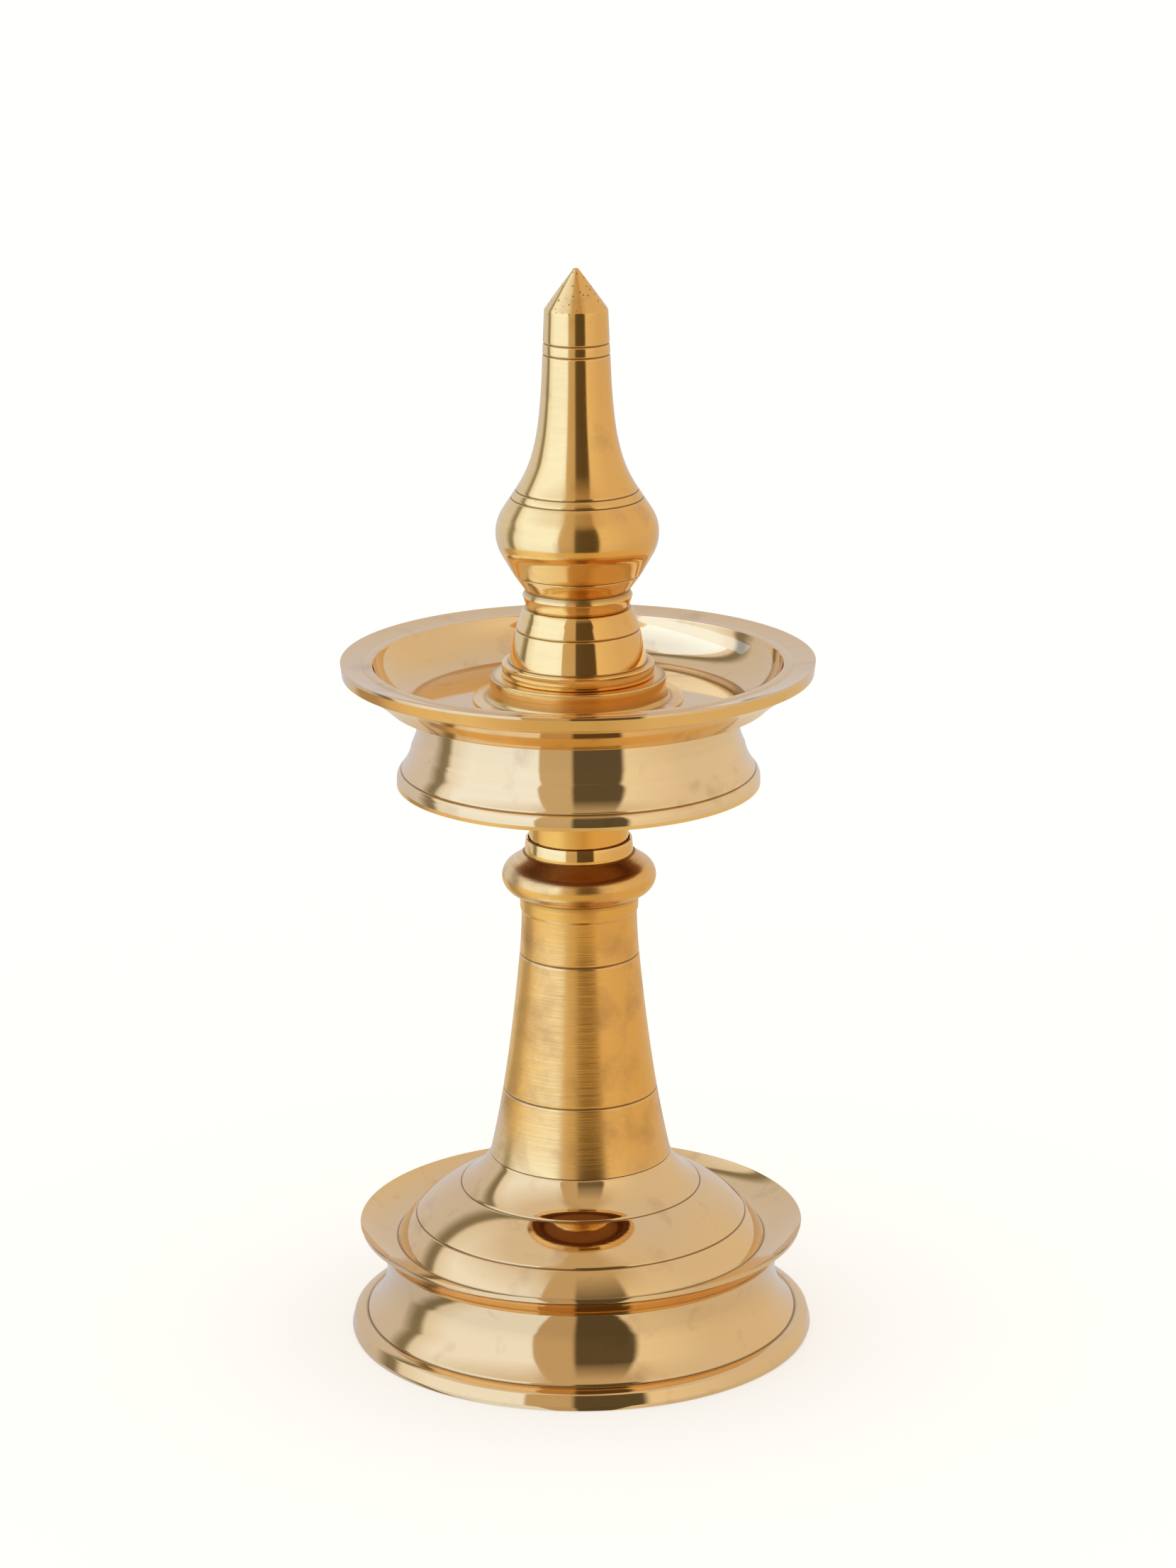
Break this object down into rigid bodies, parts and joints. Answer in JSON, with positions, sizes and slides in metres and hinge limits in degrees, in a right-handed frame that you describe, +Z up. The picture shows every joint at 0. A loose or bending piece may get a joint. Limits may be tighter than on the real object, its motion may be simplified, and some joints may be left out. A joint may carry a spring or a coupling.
{
  "type": "standing oil lamp",
  "caption": "Standing oil lamp of turned brass castings that screw together: base with catch dish, tapered stem, round oil tray on a skirt, bell hub and pointed finial.",
  "frame": {"origin": "centre of the foot, on the surface the lamp stands on", "axes": "+Z up along the lamp's turning axis; +X and +Y are any two directions across it, -Y is the viewer's side"},
  "size_m": [0.153, 0.153, 0.355],
  "materials": {
    "polished_brass": "mirror polished, with fine turning lines",
    "stem_brass": "satin, scratched round the lathe axis, lightly tarnished",
    "turned_brass": "turned but not polished",
    "thread_brass": "screw-cut, unpolished"
  },
  "bodies": {
    "base": {"base_casting": "polished_brass"},
    "stem": {"stem": "stem_brass", "stem_socket_ring": "polished_brass", "stem_stud": "thread_brass"},
    "tray": {"tray_neck": "polished_brass", "tray_skirt": "polished_brass", "oil_tray": "polished_brass", "hub_flange": "turned_brass", "tray_stud": "thread_brass"},
    "hub": {"bell_hub": "polished_brass"},
    "finial": {"finial": "polished_brass", "finial_stud": "thread_brass"}
  },
  "joints": [
    {"name": "stem_lift", "type": "slide", "parent": "base", "child": "stem", "axis": [0, 0, 1], "range_m": [0, 0.045]},
    {"name": "tray_lift", "type": "slide", "parent": "stem", "child": "tray", "axis": [0, 0, 1], "range_m": [0, 0.045]},
    {"name": "hub_lift", "type": "slide", "parent": "tray", "child": "hub", "axis": [0, 0, 1], "range_m": [0, 0.04]},
    {"name": "finial_lift", "type": "slide", "parent": "hub", "child": "finial", "axis": [0, 0, 1], "range_m": [0, 0.04]}
  ]
}
